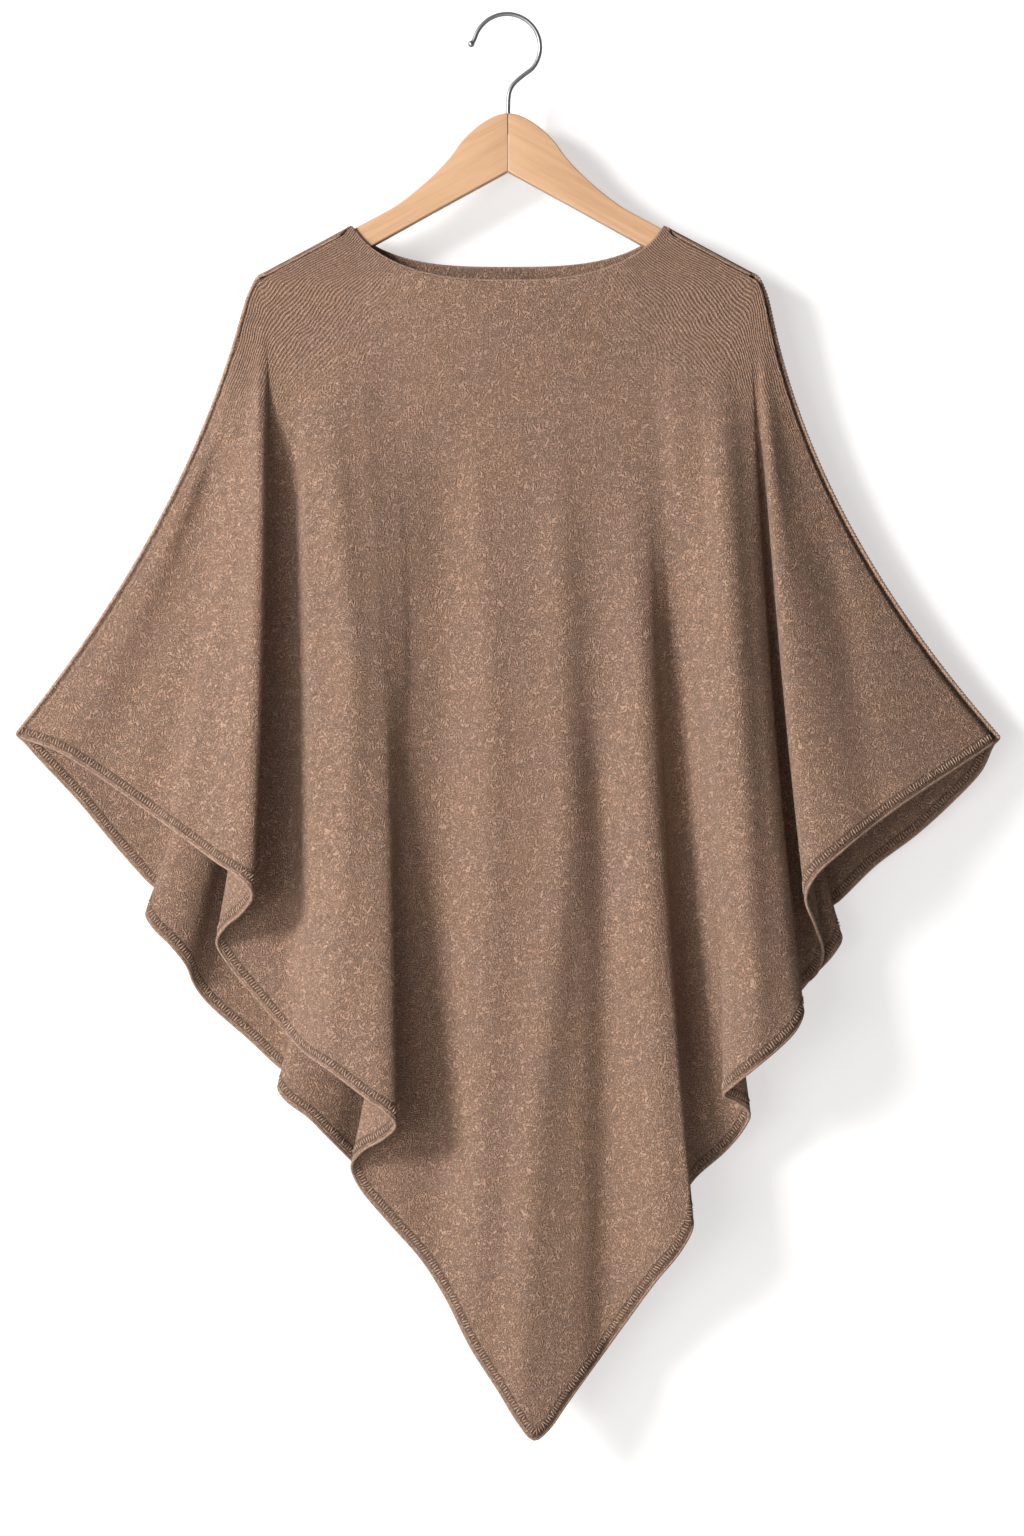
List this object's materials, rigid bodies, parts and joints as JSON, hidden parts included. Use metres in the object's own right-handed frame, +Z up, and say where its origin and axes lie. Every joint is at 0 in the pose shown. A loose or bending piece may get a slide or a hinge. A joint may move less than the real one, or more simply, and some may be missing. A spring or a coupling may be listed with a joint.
{
  "type": "knitted poncho on a wooden hanger",
  "caption": "Knitted pullover poncho with a pointed hem, wide neck and open sides, hung on a flat wooden hanger with a steel hook.",
  "frame": {"origin": "underside of the hook's crown, where a peg or rail bears", "axes": "+Z up, front of the garment towards -Y, +X to the right as seen from the front"},
  "size_m": [0.886, 0.0964, 1.2785],
  "materials": {
    "knit": "brushed fine knit, heathered brown",
    "wood": "satin varnish",
    "steel": "polished"
  },
  "bodies": {
    "root": {"front_panel": "knit", "back_panel": "knit", "hanger_arm_left": "wood", "hanger_arm_right": "wood", "hanger_hook": "steel"}
  },
  "joints": []
}
